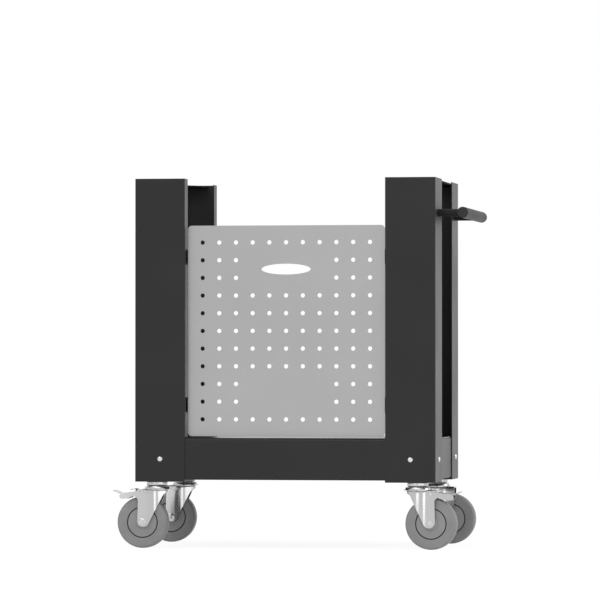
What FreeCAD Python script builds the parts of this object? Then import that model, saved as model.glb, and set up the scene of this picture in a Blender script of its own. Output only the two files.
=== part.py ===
# Wheeled stand for an outdoor pizza oven: four folded posts, low beams, a shelf,
# a lift-out perforated tool panel, a side handle and four swivel casters.
# Millimetres, +Z up, front of the stand towards -Y, handle on the +X side, floor at Z = 0.
import FreeCAD, Part
import math
import os
from FreeCAD import Vector

os.makedirs("parts", exist_ok=True)

# Frame, overall
frame_width = 600.0
frame_depth = 360.0
post_height = 600.0
load_height = 132.0
sheet = 2.0
bend_radius = 1.0
bend_relief = 1.5
cut_past = 1.0

# Posts
post_face = 100.0
post_side = 100.0
post_lip = 33.0
lip_clearance = 1.5

# Beams, shelf and foot plates
foot_plate = 4.0
beam_height = 81.0
beam_flange = 15.0
beam_end_gap = 1.0
beam_corner_gap = 1.5
shelf_sheet = 2.0
shelf_gap = 1.0
shelf_rib_height = 5.0
shelf_rib_width = 30.0
shelf_rib_count = 3
corner_inset = 50.0

# Seats for the oven at the tops of the posts
seat_drop = 3.0
seat_plate = 3.0
seat_width = 80.0
seat_neck = 28.0
seat_taper = 28.0
seat_hole = 9.0
seat_slot_length = 14.0

# Frame screws, with a nut behind the beam
screw_size = 6.0
screw_hole_clearance = 0.3
screw_head = 11.0
screw_head_height = 3.2
screw_head_edge = 0.8
screw_crown = 6.6
screw_tail = 1.5
screw_height = 45.0
nut_across = 10.0
nut_height = 5.0

# Tool panel
panel_side_gap = 3.0
panel_height = 417.0
panel_sheet = 2.0
panel_setback = 20.0
panel_floor_gap = 3.0
panel_corner = 8.0
hole_diameter = 8.7
hole_side_margin = 29.5
hole_end_margin = 33.5
hole_columns = 11
hole_rows = 11
blank_columns = (4, 5, 6, 7, 8)
blank_rows = (2, 3, 9, 10)
grip_slot_width = 98.5
grip_slot_height = 21.3
grip_slot_below_row = 53.0

# Catches behind the panel
catch_sheet = 2.0
catch_width = 27.0
catch_height = 30.0
catch_inset = 62.0
magnet_diameter = 16.0
magnet_inset = 14.0
magnet_gap = 0.3

# Side handle
handle_drop = 69.0
handle_stand_off = 51.0
grip_diameter = 22.0
grip_wall = 2.0
grip_overhang = 25.0
plug_flange = 3.0
plug_chamfer = 1.5
plug_depth = 9.0
arm_diameter = 15.0
arm_bolt = 8.0
arm_bolt_head = 13.0
arm_bolt_head_height = 4.0
arm_bolt_depth = 22.0

# Caster: swivel
caster_side_inset = 39.0
caster_end_inset = 30.0
cap_diameter = 42.0
cap_height = 9.0
cap_rim = 0.5
cap_sheet = 2.5
race_gap = 0.6
dish_diameter = 57.0
dish_height = 5.5
dish_edge = 1.2
dish_crown_diameter = 40.0
dish_dome = 9.0
neck_diameter = 48.0
neck_height = 0.9
king_bolt = 12.0
king_head_across = 18.0
king_head_height = 6.0
king_nut_across = 19.0
king_nut_height = 10.0
king_tail = 2.0
king_fit = 0.1
ball_ring_inner = 24.0
ball_ring_outer = 32.0
ball_ring_height = 4.0

# Caster: fork
fork_sheet = 2.5
fork_gap = 32.0
fork_nose = 22.0
fork_nose_length = 41.0
fork_edge = 2.0
leg_end_radius = 12.0
leg_end_offset = -3.0
leg_end_rise = 3.3
nose_straight = 6.5
nose_flare = 10.0

# Caster: wheel on its axle
wheel_clearance = 11.5
wheel_trail = 27.5
tyre_width = 25.0
tyre_shoulder = 5.0
hub_diameter = 62.0
hub_width = 24.0
hub_groove = 2.0
hub_groove_depth = 2.5
boss_diameter = 24.0
boss_gap = 0.5
axle_diameter = 8.0
axle_head = 17.0
axle_head_crown = 6.0
axle_head_height = 2.6
axle_tail = 10.0
axle_tail_crown = 8.0
axle_tail_height = 0.8
sleeve_diameter = 12.0
sleeve_play = 0.1
hub_fit = 0.06
axle_fit = 0.1

# Caster: brake on the front pair, with its heights measured down from the top of the fork
arm_end = 73.0
arm_end_radius = 5.5
arm_drop = 13.0
arm_root_drop = 2.5
notch_radius = 10.0
notch_x = 45.5
notch_drop = 23.0
notch_wrap = 57.0
pin_x = 27.5
pin_drop = 7.0
pin_diameter = 5.0
pin_head = 6.5
pin_head_height = 1.0
pin_fit = 0.1
lever_sheet = 2.0
lever_side_gap = 0.8
lever_line = ((23.0, 4.8), (36.0, 4.8), (71.0, 8.0), (87.0, 1.5))
release_line = ((39.5, 4.8), (39.5, -3.0), (52.0, -1.0))
lever_cheek_height = 7.0
lever_cheek_end = 44.0
shoe_at = 57.0
shoe_drop = 13.6

# Derived places, about the mid-plane of the frame
half_width = frame_width / 2
half_depth = frame_depth / 2
inner_half_width = half_width - sheet
inner_half_depth = half_depth - sheet
post_bottom = load_height
post_top = load_height + post_height
beam_bottom = post_bottom + foot_plate
beam_top = beam_bottom + beam_height
shelf_top = beam_top + shelf_sheet
lip_bottom = shelf_top + lip_clearance
corner_x = half_width - corner_inset
corner_y = half_depth - corner_inset
screw_z = post_bottom + screw_height
opening_half = half_width - post_face
panel_width = 2 * (opening_half - panel_side_gap)
hole_pitch_x = (panel_width - 2 * hole_side_margin) / (hole_columns - 1)
hole_pitch_z = (panel_height - 2 * hole_end_margin) / (hole_rows - 1)
panel_front = -half_depth + panel_setback
panel_back = panel_front + panel_sheet
panel_bottom = shelf_top + panel_floor_gap
handle_x = half_width + handle_stand_off
handle_z = post_top - handle_drop
grip_length = 2 * (corner_y + grip_overhang)
caster_x = half_width - caster_side_inset
caster_y = half_depth - caster_end_inset
cap_bottom = load_height - cap_height
dish_top = cap_bottom - race_gap
fork_top = dish_top - dish_height - neck_height
fork_half = fork_gap / 2 + fork_sheet
wheel_diameter = fork_top - fork_sheet - wheel_clearance
wheel_radius = wheel_diameter / 2
pin_z = fork_top - pin_drop
lever_reach = lever_line[-1][0]
shift_x = (caster_x + lever_reach - handle_x - grip_diameter / 2) / 2
corners = (("front_left", -1, -1), ("front_right", 1, -1), ("rear_left", -1, 1), ("rear_right", 1, 1))


def save(name, shape):
    placed = shape.copy()
    placed.translate(Vector(shift_x, 0, 0))
    placed.exportStep("parts/" + name + ".step")
    print(name, "solids", len(placed.Solids), "volume", round(placed.Volume))


def box(x0, x1, y0, y1, z0, z1):
    return Part.makeBox(x1 - x0, y1 - y0, z1 - z0, Vector(x0, y0, z0))


def rod(radius, start, end):
    return Part.makeCylinder(radius, (end - start).Length, start, end - start)


def tube(outer, inner, start, end):
    return rod(outer, start, end).cut(rod(inner, start, end))


def hexagon(across, height, base, direction):
    radius = across / math.sqrt(3)
    turns = [math.pi * k / 3 for k in range(7)]
    points = [Vector(radius * math.cos(turn), radius * math.sin(turn), 0) for turn in turns]
    prism = Part.Face(Part.makePolygon(points)).extrude(Vector(0, 0, height))
    prism.Placement = FreeCAD.Placement(base, FreeCAD.Rotation(Vector(0, 0, 1), direction))
    return prism


def revolve_profile(points):
    # Turns a closed outline of (radius, height) pairs about the vertical axis
    outline = [Vector(r, 0, z) for r, z in points]
    outline.append(outline[0])
    return Part.Face(Part.makePolygon(outline)).revolve(Vector(0, 0, 0), Vector(0, 0, 1), 360)


def ring_edges(shape, radius, z):
    # Round edges about the vertical axis at one radius and height
    found = []
    for edge in shape.Edges:
        low = edge.BoundBox.ZMin
        if edge.BoundBox.ZLength < 0.01 and abs(low - z) < 0.01 and abs(edge.BoundBox.XMax - radius) < 0.01:
            found.append(edge)
    return found


def is_upright_at(edge, x, y):
    centre = edge.CenterOfMass
    return edge.BoundBox.ZLength > 1 and math.hypot(centre.x - x, centre.y - y) < 0.01


def mirrored(shape, side_x, side_y):
    result = shape
    if side_x > 0:
        result = result.mirror(Vector(0, 0, 0), Vector(1, 0, 0))
    if side_y > 0:
        result = result.mirror(Vector(0, 0, 0), Vector(0, 1, 0))
    return result


def offset_line(points, distance):
    # Moves an open polyline to its left by a distance, with mitred corners
    moved = []
    for k, point in enumerate(points):
        before = points[k] - points[k - 1] if k > 0 else points[1] - points[0]
        after = points[k + 1] - points[k] if k < len(points) - 1 else before
        before = before.normalize()
        after = Vector(after).normalize()
        left = Vector(-before.y, before.x, 0)
        turn = 1 + before.dot(after)
        across = left + Vector(-after.y, after.x, 0)
        moved.append(point + across * (distance / turn))
    return moved


def rounded_edges(points, radii):
    # Lines and tangent arcs along an open polyline, one radius for each inner point
    edges = []
    start = points[0]
    for k in range(1, len(points) - 1):
        corner = points[k]
        before = (corner - points[k - 1]).normalize()
        after = (points[k + 1] - corner).normalize()
        turn = math.acos(max(-1.0, min(1.0, before.dot(after))))
        reach = radii[k - 1] * math.tan(turn / 2)
        first = corner - before * reach
        last = corner + after * reach
        inward = (after - before).normalize()
        centre = corner + inward * (radii[k - 1] / math.cos(turn / 2))
        middle = centre - inward * radii[k - 1]
        edges.append(Part.LineSegment(start, first).toShape())
        edges.append(Part.Arc(first, middle, last).toShape())
        start = last
    edges.append(Part.LineSegment(start, points[-1]).toShape())
    return edges


def strip(flat_points, thickness, radius):
    # Cross-section of a bent sheet: one face runs along the line, the other lies to its left,
    # or to its right where the thickness is negative
    points = [Vector(a, b, 0) for a, b in flat_points]
    other = offset_line(points, thickness)
    line_radii = []
    other_radii = []
    for k in range(1, len(points) - 1):
        before = points[k] - points[k - 1]
        after = points[k + 1] - points[k]
        turns_left = before.x * after.y - before.y * after.x > 0
        line_is_outside = turns_left == (thickness > 0)
        line_radii.append(radius + abs(thickness) if line_is_outside else radius)
        other_radii.append(radius if line_is_outside else radius + abs(thickness))
    edges = rounded_edges(points, line_radii)
    edges.append(Part.LineSegment(points[-1], other[-1]).toShape())
    edges += rounded_edges(other, other_radii)
    edges.append(Part.LineSegment(other[0], points[0]).toShape())
    return Part.Face(Part.Wire(Part.__sortEdges__(edges)))


def along_x(face, start, length):
    # The section's first axis becomes Y and its second Z
    solid = face.extrude(Vector(0, 0, length))
    solid.rotate(Vector(0, 0, 0), Vector(1, 1, 1), 120)
    solid.translate(Vector(start, 0, 0))
    return solid


def along_y(face, start, length):
    # The section's first axis stays X and its second becomes Z
    solid = face.extrude(Vector(0, 0, length))
    solid.rotate(Vector(0, 0, 0), Vector(1, 0, 0), 90)
    solid.translate(Vector(0, start + length, 0))
    return solid


def post_front_left():
    # Folded post, open towards the inside of the stand; its lip starts above the beams
    line = (
        (-half_width, -half_depth + post_side),
        (-half_width, -half_depth),
        (-opening_half, -half_depth),
        (-opening_half, -half_depth + post_lip),
    )
    foot = strip(line[:3], sheet, bend_radius).extrude(Vector(0, 0, lip_bottom - post_bottom))
    foot.translate(Vector(0, 0, post_bottom))
    upper = strip(line, sheet, bend_radius).extrude(Vector(0, 0, post_top - lip_bottom))
    upper.translate(Vector(0, 0, lip_bottom))
    post = foot.fuse(upper).removeSplitter()
    hole = screw_size / 2 + screw_hole_clearance
    front_start = Vector(-corner_x, -half_depth, screw_z)
    side_start = Vector(-half_width, -corner_y, screw_z)
    front_hole = rod(hole, front_start, front_start + Vector(0, sheet, 0))
    side_hole = rod(hole, side_start, side_start + Vector(sheet, 0, 0))
    return post.cut(front_hole).cut(side_hole)


def posts():
    arm_hole = rod(
        arm_bolt / 2 + screw_hole_clearance,
        Vector(inner_half_width, 0, handle_z),
        Vector(half_width, 0, handle_z),
    )
    for name, side_x, side_y in corners:
        post = mirrored(post_front_left(), side_x, side_y)
        if side_x > 0:
            post = post.cut(arm_hole.translated(Vector(0, side_y * corner_y, 0)))
        save("post_" + name, post)


def foot_plates():
    plate = box(
        -inner_half_width, -opening_half, -inner_half_depth, -half_depth + post_side,
        post_bottom, beam_bottom,
    )
    centre = Vector(-caster_x, -caster_y, post_bottom)
    plate = plate.cut(rod(king_bolt / 2 + screw_hole_clearance, centre, centre + Vector(0, 0, foot_plate)))
    corner = [e for e in plate.Edges if is_upright_at(e, -inner_half_width, -inner_half_depth)]
    plate = plate.makeChamfer(bend_relief, corner)
    for name, side_x, side_y in corners:
        save("foot_plate_" + name, mirrored(plate, side_x, side_y))


def beams():
    hole = screw_size / 2 + screw_hole_clearance
    long_section = strip(
        (
            (-inner_half_depth + beam_flange, beam_bottom),
            (-inner_half_depth, beam_bottom),
            (-inner_half_depth, beam_top),
            (-inner_half_depth + beam_flange, beam_top),
        ),
        -sheet,
        bend_radius,
    )
    long_half = inner_half_width - beam_end_gap
    front = along_x(long_section, -long_half, 2 * long_half)
    for side in (-1, 1):
        face = Vector(side * corner_x, -inner_half_depth, screw_z)
        front = front.cut(rod(hole, face, face + Vector(0, sheet, 0)))
    save("beam_front", front)
    save("beam_rear", mirrored(front, -1, 1))
    short_section = strip(
        (
            (-inner_half_width + beam_flange, beam_bottom),
            (-inner_half_width, beam_bottom),
            (-inner_half_width, beam_top),
            (-inner_half_width + beam_flange, beam_top),
        ),
        -sheet,
        bend_radius,
    )
    short_half = inner_half_depth - beam_flange - beam_corner_gap
    left = along_y(short_section, -short_half, 2 * short_half)
    for side in (-1, 1):
        face = Vector(-inner_half_width, side * corner_y, screw_z)
        left = left.cut(rod(hole, face, face + Vector(sheet, 0, 0)))
    save("beam_left", left)
    save("beam_right", mirrored(left, 1, -1))


def bottom_shelf():
    # Flat shelf on the beams, stiffened by shallow hat ribs below
    shelf = box(
        -inner_half_width + shelf_gap, inner_half_width - shelf_gap,
        -inner_half_depth + shelf_gap, inner_half_depth - shelf_gap,
        beam_top, shelf_top,
    )
    rib_half = inner_half_depth - beam_flange - beam_corner_gap
    wall = sheet
    for k in range(shelf_rib_count):
        x = (k + 1) * 2 * opening_half / (shelf_rib_count + 1) - opening_half
        rib = box(x - shelf_rib_width / 2, x + shelf_rib_width / 2, -rib_half, rib_half,
                  beam_top - shelf_rib_height, beam_top)
        hollow = box(x - shelf_rib_width / 2 + wall, x + shelf_rib_width / 2 - wall, -rib_half, rib_half,
                     beam_top - shelf_rib_height + wall, beam_top)
        shelf = shelf.fuse(rib.cut(hollow))
    save("bottom_shelf", shelf.removeSplitter())


def oven_seats():
    # One plate for each side, lying inside the tops of its two posts and tied by a neck
    top = post_top - seat_drop
    inner_edge = -inner_half_width + seat_width
    neck_edge = -inner_half_width + seat_neck
    pad_end = -half_depth + post_side
    outline = [
        (-inner_half_width, -inner_half_depth), (inner_edge, -inner_half_depth),
        (inner_edge, pad_end - seat_taper), (inner_edge - seat_taper, pad_end),
        (neck_edge, pad_end), (neck_edge, -pad_end),
        (inner_edge - seat_taper, -pad_end), (inner_edge, -pad_end + seat_taper),
        (inner_edge, inner_half_depth), (-inner_half_width, inner_half_depth),
    ]
    outline.append(outline[0])
    points = [Vector(x, y, top - seat_plate) for x, y in outline]
    plate = Part.Face(Part.makePolygon(points)).extrude(Vector(0, 0, seat_plate))
    for side in (-1, 1):
        corner = [e for e in plate.Edges if is_upright_at(e, -inner_half_width, side * inner_half_depth)]
        plate = plate.makeChamfer(bend_relief, corner)
        low = Vector(-corner_x, side * corner_y, top - seat_plate)
        reach = (seat_slot_length - seat_hole) / 2
        slot = box(low.x - reach, low.x + reach, low.y - seat_hole / 2, low.y + seat_hole / 2, low.z, top)
        for end in (-reach, reach):
            centre = low + Vector(end, 0, 0)
            slot = slot.fuse(rod(seat_hole / 2, centre, centre + Vector(0, 0, seat_plate)))
        plate = plate.cut(slot)
    save("oven_seat_left", plate)
    save("oven_seat_right", mirrored(plate, 1, -1))


def button_screw(outer_face, inward, length):
    # Low crowned head on the outer face, with its shank running inwards
    head = revolve_profile(
        [
            (0, 0), (screw_head / 2, 0), (screw_head / 2, screw_head_edge),
            (screw_crown / 2, screw_head_height), (0, screw_head_height),
        ]
    )
    shank = rod(screw_size / 2, Vector(0, 0, -length), Vector(0, 0, 0))
    screw = head.fuse(shank)
    screw.Placement = FreeCAD.Placement(outer_face, FreeCAD.Rotation(Vector(0, 0, 1), inward * -1))
    return screw


def frame_fasteners():
    grip = 2 * sheet
    length = grip + nut_height + screw_tail
    screws = []
    nuts = []
    for _, side_x, side_y in corners:
        places = (
            (Vector(side_x * corner_x, side_y * half_depth, screw_z), Vector(0, -side_y, 0)),
            (Vector(side_x * half_width, side_y * corner_y, screw_z), Vector(-side_x, 0, 0)),
        )
        for face, inward in places:
            screws.append(button_screw(face, inward, length))
            nut = hexagon(nut_across, nut_height, face + inward * grip, inward)
            nut = nut.cut(rod(screw_size / 2, face, face + inward * (grip + nut_height)))
            nuts.append(nut)
    save("frame_screws", Part.makeCompound(screws))
    save("frame_nuts", Part.makeCompound(nuts))


def tool_panel():
    # Perforated sheet: holes on a square-set grid, blank bands, hand slot on the middle column
    half = panel_width / 2
    panel = box(-half, half, panel_front, panel_back, panel_bottom, panel_bottom + panel_height)
    corners_only = [e for e in panel.Edges if abs(e.BoundBox.YLength - panel_sheet) < 0.01]
    panel = panel.makeFillet(panel_corner, corners_only)
    middle_z = panel_bottom + panel_height / 2
    middle_column = (hole_columns + 1) / 2
    middle_row = (hole_rows + 1) / 2
    holes = []
    for row in range(1, hole_rows + 1):
        for column in range(1, hole_columns + 1):
            if row in blank_rows and column in blank_columns:
                continue
            x = (column - middle_column) * hole_pitch_x
            z = middle_z + (middle_row - row) * hole_pitch_z
            start = Vector(x, panel_front - cut_past, z)
            holes.append(rod(hole_diameter / 2, start, Vector(x, panel_back + cut_past, z)))
    panel = panel.cut(Part.makeCompound(holes))
    slot_z = middle_z + (middle_row - 1) * hole_pitch_z - grip_slot_below_row
    ellipse = Part.Ellipse(Vector(0, 0, 0), grip_slot_width / 2, grip_slot_height / 2).toShape()
    slot = Part.Face(Part.Wire(ellipse)).extrude(Vector(0, 0, panel_sheet + 2 * cut_past))
    slot.rotate(Vector(0, 0, 0), Vector(1, 0, 0), 90)
    slot.translate(Vector(0, panel_back + cut_past, slot_z))
    save("tool_panel", panel.cut(slot))


def panel_catches():
    # Four tabs on the rear edges of the lips, each with a pot magnet that holds the panel
    tab_front = -half_depth + post_lip
    plates = []
    magnets = []
    heights = (panel_bottom + catch_inset, panel_bottom + panel_height - catch_inset)
    for side in (-1, 1):
        outer = -opening_half - sheet
        for z in heights:
            plate = box(outer, outer + catch_width, tab_front, tab_front + catch_sheet,
                        z - catch_height / 2, z + catch_height / 2)
            magnet_x = outer + magnet_inset + sheet
            magnet = rod(magnet_diameter / 2, Vector(magnet_x, tab_front, z),
                         Vector(magnet_x, panel_back + magnet_gap, z))
            plates.append(mirrored(plate, side, -1))
            magnets.append(mirrored(magnet, side, -1))
    save("panel_catches", Part.makeCompound(plates))
    save("panel_magnets", Part.makeCompound(magnets))


def handle():
    outer = grip_diameter / 2
    half = grip_length / 2
    start = Vector(handle_x, -half, handle_z)
    end = Vector(handle_x, half, handle_z)
    save("handle_grip", tube(outer, outer - grip_wall, start, end))
    plugs = []
    for side in (-1, 1):
        mouth = Vector(handle_x, side * half, handle_z)
        out = Vector(0, side, 0)
        shoulder = mouth + out * (plug_flange - plug_chamfer)
        rim = Part.makeCone(outer, outer - plug_chamfer, plug_chamfer, shoulder, out)
        stub = rod(outer - grip_wall, mouth - out * plug_depth, mouth)
        plugs.append(rod(outer, mouth, shoulder).fuse(rim).fuse(stub))
    save("handle_end_plugs", Part.makeCompound(plugs))
    bolts = []
    for name, side in (("front", -1), ("rear", 1)):
        root = Vector(half_width, side * corner_y, handle_z)
        arm = rod(arm_diameter / 2, root, root + Vector(handle_stand_off, 0, 0))
        arm = arm.cut(rod(outer, start, end))
        thread = rod(arm_bolt / 2, root, root + Vector(arm_bolt_depth, 0, 0))
        save("handle_arm_" + name, arm.cut(thread))
        seat = root - Vector(sheet, 0, 0)
        head = hexagon(arm_bolt_head, arm_bolt_head_height, seat, Vector(-1, 0, 0))
        bolts.append(head.fuse(rod(arm_bolt / 2, seat, root + Vector(arm_bolt_depth, 0, 0))))
    save("handle_screws", Part.makeCompound(bolts))


def swivel_cap():
    # Pressed upper race: flat crown under the post, skirt turned down and in over the balls
    bore = king_bolt / 2 + king_fit
    crown = cap_diameter / 2 - cap_rim
    edge = cap_diameter / 2
    cap = revolve_profile(
        [
            (bore, load_height), (crown, load_height), (edge, load_height - cap_rim), (edge, cap_bottom),
            (edge - cap_sheet, cap_bottom), (edge - cap_sheet, load_height - cap_sheet),
            (bore, load_height - cap_sheet),
        ]
    )
    return cap.makeFillet(cap_sheet - cap_rim, ring_edges(cap, edge, cap_bottom))


def ball_ring():
    top = load_height - cap_sheet
    return revolve_profile(
        [
            (ball_ring_inner / 2, top), (ball_ring_outer / 2, top),
            (ball_ring_outer / 2, top - ball_ring_height), (ball_ring_inner / 2, top - ball_ring_height),
        ]
    )


def side_profile(braked):
    # Side view of the fork: a short upright nose, a hollow flare under it that runs into the
    # slanting edge, round leg end, upright tail edge
    centre = Vector(wheel_trail + leg_end_offset, 0, wheel_radius + leg_end_rise)
    tail_foot = Vector(centre.x + leg_end_radius, 0, centre.z)
    nose_low = Vector(-fork_nose, 0, fork_top - nose_straight)
    flare = nose_low - Vector(0, 0, nose_flare)
    gap = centre - flare
    slope = math.atan2(gap.z, gap.x) - math.asin((nose_flare + leg_end_radius) / math.hypot(gap.x, gap.z))
    outward = Vector(-math.sin(slope), 0, math.cos(slope))
    half_way = math.pi / 2 + slope / 2
    flare_middle = flare + Vector(math.cos(half_way), 0, math.sin(half_way)) * nose_flare
    nose_foot = centre - outward * leg_end_radius
    low = Vector(centre.x, 0, centre.z - leg_end_radius)
    edges = [
        Part.LineSegment(Vector(-fork_nose, 0, fork_top), nose_low).toShape(),
        Part.Arc(nose_low, flare_middle, flare + outward * nose_flare).toShape(),
        Part.LineSegment(flare + outward * nose_flare, nose_foot).toShape(),
        Part.Arc(nose_foot, low, tail_foot).toShape(),
    ]
    if braked:
        notch_centre = Vector(notch_x, 0, fork_top - notch_drop)
        notch_start = notch_centre - Vector(notch_radius, 0, 0)
        notch_top = notch_centre + Vector(0, 0, notch_radius)
        wrap = math.radians(notch_wrap)
        notch_end = notch_centre + Vector(math.sin(wrap), 0, math.cos(wrap)) * notch_radius
        tip = Vector(arm_end - arm_end_radius, 0, fork_top - arm_drop)
        tip_low = tip - Vector(0, 0, arm_end_radius)
        tip_high = tip + Vector(0, 0, arm_end_radius)
        tip_out = tip + Vector(arm_end_radius, 0, 0)
        root = Vector(tail_foot.x, 0, fork_top - arm_root_drop)
        edges += [
            Part.LineSegment(tail_foot, notch_start).toShape(),
            Part.Arc(notch_start, notch_top, notch_end).toShape(),
            Part.LineSegment(notch_end, tip_low).toShape(),
            Part.Arc(tip_low, tip_out, tip_high).toShape(),
            Part.LineSegment(tip_high, root).toShape(),
            Part.LineSegment(root, Vector(root.x, 0, fork_top)).toShape(),
            Part.LineSegment(Vector(root.x, 0, fork_top), Vector(-fork_nose, 0, fork_top)).toShape(),
        ]
    else:
        tail_top = Vector(tail_foot.x, 0, fork_top)
        edges += [
            Part.LineSegment(tail_foot, tail_top).toShape(),
            Part.LineSegment(tail_top, Vector(-fork_nose, 0, fork_top)).toShape(),
        ]
    return Part.Face(Part.Wire(edges))


def horseshoe(half, nose, tail, z0, z1):
    # Plan of the fork: half an ellipse for its nose and two parallel sides
    centre_x = fork_nose_length - fork_nose
    oval = Part.Ellipse(Vector(centre_x, 0, z0), centre_x + nose, half)
    edges = [
        Part.ArcOfEllipse(oval, math.pi / 2, 3 * math.pi / 2).toShape(),
        Part.LineSegment(Vector(centre_x, -half, z0), Vector(tail, -half, z0)).toShape(),
        Part.LineSegment(Vector(tail, -half, z0), Vector(tail, half, z0)).toShape(),
        Part.LineSegment(Vector(tail, half, z0), Vector(centre_x, half, z0)).toShape(),
    ]
    return Part.Face(Part.Wire(edges)).extrude(Vector(0, 0, z1 - z0))


def fork(braked):
    # Deep-drawn fork in its own place: swivel axis on Z, wheel trailing towards +X
    tail = arm_end if braked else wheel_trail + leg_end_offset + leg_end_radius
    outer = horseshoe(fork_half, fork_nose, tail, 0, fork_top)
    rim = [e for e in outer.Edges if e.BoundBox.ZMin > fork_top - 1 and e.BoundBox.XMin < tail - 1]
    outer = outer.makeFillet(fork_edge, rim)
    inner = horseshoe(fork_gap / 2, fork_nose - fork_sheet, tail + cut_past, -cut_past, fork_top - fork_sheet)
    side = side_profile(braked).extrude(Vector(0, 2 * fork_half, 0))
    side.translate(Vector(0, -fork_half, 0))
    body = outer.cut(inner).common(side)
    dish = revolve_profile(
        [
            (0, fork_top), (neck_diameter / 2, fork_top), (neck_diameter / 2, fork_top + neck_height),
            (dish_diameter / 2, fork_top + neck_height),
            (dish_diameter / 2, fork_top + neck_height + dish_edge),
            (dish_crown_diameter / 2, dish_top), (0, dish_top),
        ]
    )
    dish = dish.makeFillet(dish_dome, ring_edges(dish, dish_crown_diameter / 2, dish_top))
    bore = king_bolt / 2 + king_fit
    roof = Vector(0, 0, fork_top - fork_sheet - cut_past)
    body = body.fuse(dish).cut(rod(bore, roof, Vector(0, 0, dish_top + cut_past)))
    axle_hole = rod(axle_diameter / 2 + axle_fit, Vector(wheel_trail, -fork_half, wheel_radius),
                    Vector(wheel_trail, fork_half, wheel_radius))
    body = body.cut(axle_hole)
    if braked:
        pin_start = Vector(pin_x, -fork_half, pin_z)
        body = body.cut(rod(pin_diameter / 2, pin_start, pin_start + Vector(0, 2 * fork_half, 0)))
    return body.removeSplitter()


def axle():
    # Riveted axle: low domed head on one side, peened end on the other
    centre = Vector(wheel_trail, 0, wheel_radius)
    across = Vector(0, 1, 0)
    shank = rod(axle_diameter / 2, centre - across * fork_half, centre + across * fork_half)
    near = centre + across * fork_half
    far = centre - across * fork_half
    head = Part.makeCone(axle_head / 2, axle_head_crown / 2, axle_head_height, near, across)
    end = Part.makeCone(axle_tail / 2, axle_tail_crown / 2, axle_tail_height, far, across * -1)
    return shank.fuse(head).fuse(end)


def sleeve():
    centre = Vector(wheel_trail, 0, wheel_radius)
    half = Vector(0, fork_gap / 2 - sleeve_play, 0)
    return tube(sleeve_diameter / 2, axle_diameter / 2 + axle_fit, centre - half, centre + half)


def on_wheel_axis(shape):
    shape.rotate(Vector(0, 0, 0), Vector(1, 0, 0), 90)
    shape.translate(Vector(wheel_trail, 0, wheel_radius))
    return shape


def tyre():
    bore = hub_diameter / 2
    half = tyre_width / 2
    ring = revolve_profile([(bore, -half), (wheel_radius, -half), (wheel_radius, half), (bore, half)])
    shoulders = ring_edges(ring, wheel_radius, -half) + ring_edges(ring, wheel_radius, half)
    return on_wheel_axis(ring.makeFillet(tyre_shoulder, shoulders))


def hub():
    # Flat disc with a groove around its rim on both sides and a boss at its middle
    bore = sleeve_diameter / 2 + hub_fit
    boss = boss_diameter / 2
    rim = hub_diameter / 2
    disc = rim - hub_groove
    half = hub_width / 2
    floor = half - hub_groove_depth
    end = fork_gap / 2 - boss_gap
    profile = [
        (bore, -end), (boss, -end), (boss, -half), (disc, -half), (disc, -floor), (rim, -floor),
        (rim, floor), (disc, floor), (disc, half), (boss, half), (boss, end), (bore, end),
    ]
    return on_wheel_axis(revolve_profile(profile))


def brake_lever():
    # Bent pedal between the fork arms, with a release tab above it, cheeks on the pivot pin
    # and a shoe over the tyre
    half = fork_gap / 2 - lever_side_gap
    line = [(x, fork_top - drop) for x, drop in lever_line]
    plate = along_y(strip(line, lever_sheet, bend_radius), -half, 2 * half)
    plate.translate(Vector(0, 0, -lever_sheet / 2))
    tab_line = [(x, fork_top - drop) for x, drop in release_line]
    tab = along_y(strip(tab_line, -lever_sheet, bend_radius), -half, 2 * half)
    root, top = line[0]
    low = top - lever_cheek_height
    cheek_points = [
        Vector(root, -half, top), Vector(root, -half, low),
        Vector(lever_cheek_end - lever_cheek_height, -half, low), Vector(lever_cheek_end, -half, top),
    ]
    cheek_points.append(cheek_points[0])
    cheek = Part.Face(Part.makePolygon(cheek_points)).extrude(Vector(0, lever_sheet, 0))
    lever = plate.fuse(tab).fuse(cheek).fuse(cheek.translated(Vector(0, 2 * half - lever_sheet, 0)))
    shoe_half = tyre_width / 2
    bend_x, bend_z = line[1]
    flap_x, flap_z = line[2]
    shoe_top = bend_z + (flap_z - bend_z) * (shoe_at - bend_x) / (flap_x - bend_x)
    shoe = box(shoe_at, shoe_at + lever_sheet, -shoe_half, shoe_half, top - shoe_drop, shoe_top)
    hole = rod(pin_diameter / 2 + pin_fit, Vector(pin_x, -fork_half, pin_z), Vector(pin_x, fork_half, pin_z))
    return lever.fuse(shoe).cut(hole).removeSplitter()


def brake_pin():
    start = Vector(pin_x, -fork_half, pin_z)
    end = Vector(pin_x, fork_half, pin_z)
    pin = rod(pin_diameter / 2, start, end)
    for mouth, out in ((start, Vector(0, -1, 0)), (end, Vector(0, 1, 0))):
        pin = pin.fuse(rod(pin_head / 2, mouth, mouth + out * pin_head_height))
    return pin


def place_caster(shape, side_x, side_y):
    placed = shape.copy()
    if side_x < 0:
        placed.rotate(Vector(0, 0, 0), Vector(0, 0, 1), 180)
    placed.translate(Vector(side_x * caster_x, side_y * caster_y, 0))
    return placed


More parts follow.
